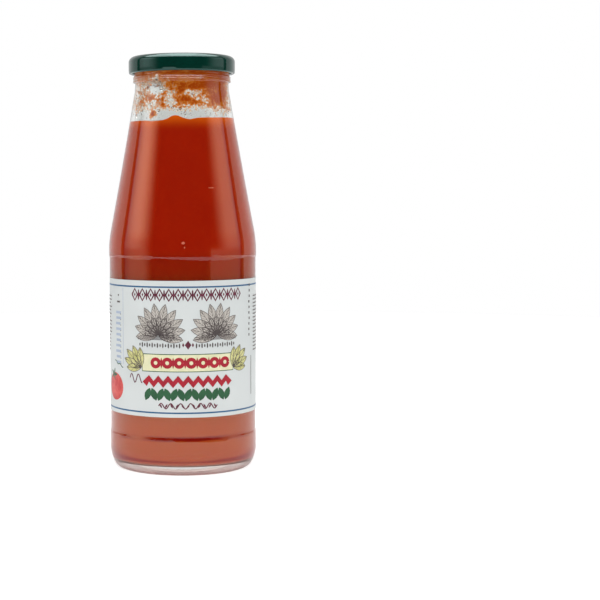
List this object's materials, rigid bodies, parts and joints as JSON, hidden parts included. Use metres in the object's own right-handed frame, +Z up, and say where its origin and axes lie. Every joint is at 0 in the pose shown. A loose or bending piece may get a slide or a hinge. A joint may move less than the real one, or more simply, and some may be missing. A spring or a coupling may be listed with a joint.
{
  "type": "passata bottle",
  "caption": "Shut clear glass bottle of tomato passata with a long conical neck, a dark green metal twist-off lid and a patterned paper label round its body.",
  "frame": {"origin": "middle of the base, on the plane that the bottle stands on", "axes": "+Z up along the bottle's axis, towards the lid; -Y is the front, where the label's design faces"},
  "size_m": [0.0786, 0.0786, 0.218],
  "materials": {
    "glass": "polished",
    "passata": "satin",
    "lid_enamel": "gloss",
    "label_paper": "satin"
  },
  "bodies": {
    "root": {"bottle_glass": "glass", "passata": "passata", "lid": "lid_enamel", "label": "label_paper"}
  },
  "joints": []
}
